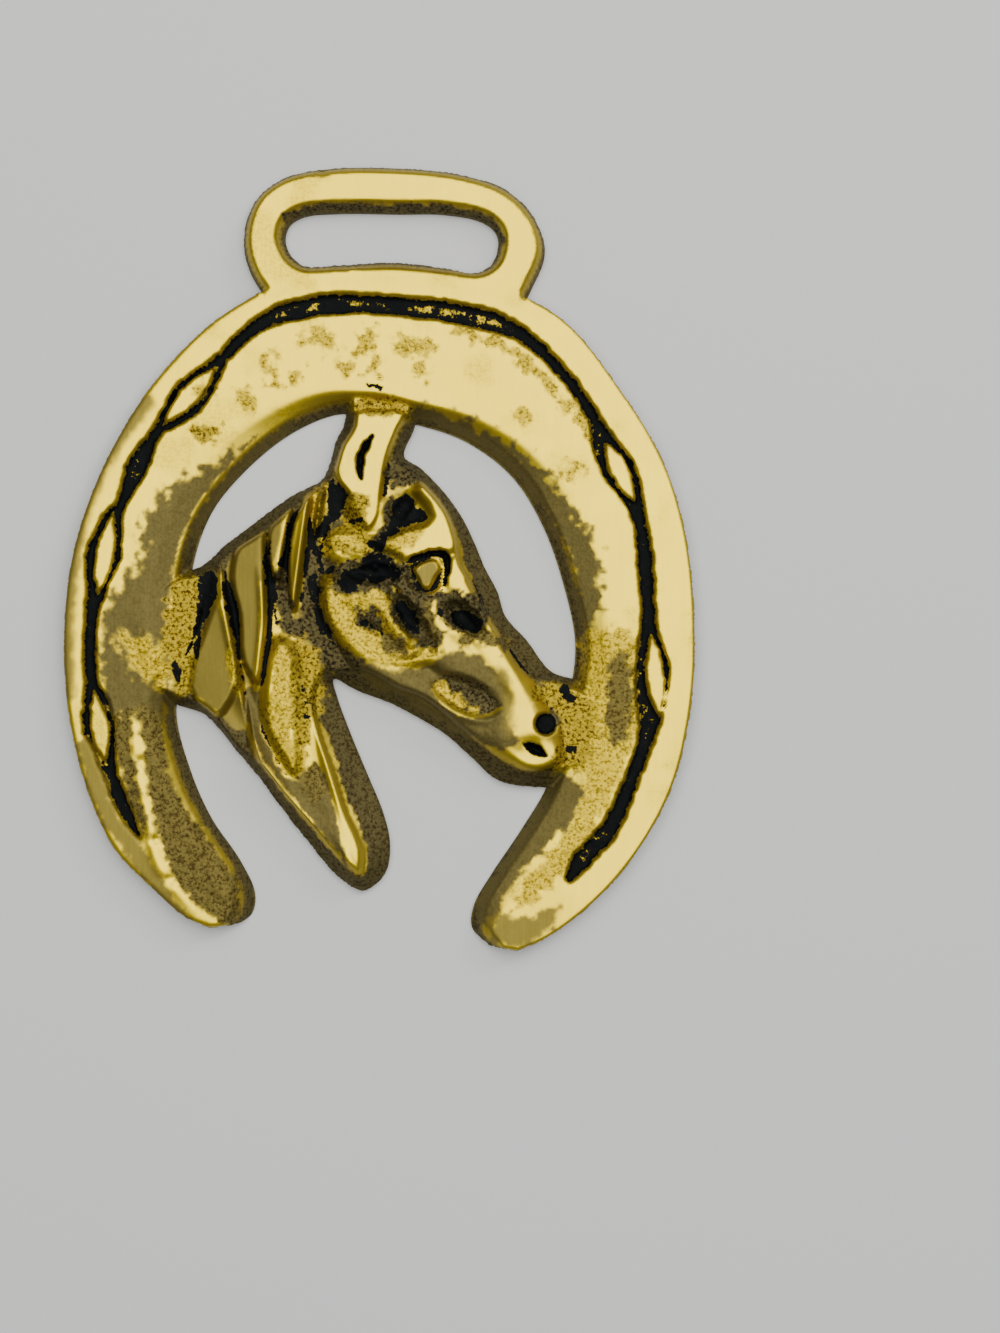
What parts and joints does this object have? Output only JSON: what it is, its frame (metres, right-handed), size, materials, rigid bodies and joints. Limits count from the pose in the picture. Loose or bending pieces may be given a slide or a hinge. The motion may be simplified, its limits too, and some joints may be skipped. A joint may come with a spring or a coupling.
{
  "type": "horse brass",
  "caption": "Flat cast brass harness pendant: a horseshoe with a strap loop at its toe and a horse's head in relief inside it.",
  "frame": {"origin": "on the flat back, at the middle of the outline's width and length", "axes": "+Z out of the carved face, +Y from the heels towards the strap loop, +X to the right as seen from the front"},
  "size_m": [0.068, 0.084, 0.0048],
  "materials": {
    "cast_brass": "cast brass, hand polished on the heights, sandy and dark in the grooves and hollows"
  },
  "bodies": {
    "root": {"horse_brass": "cast_brass"}
  },
  "joints": []
}
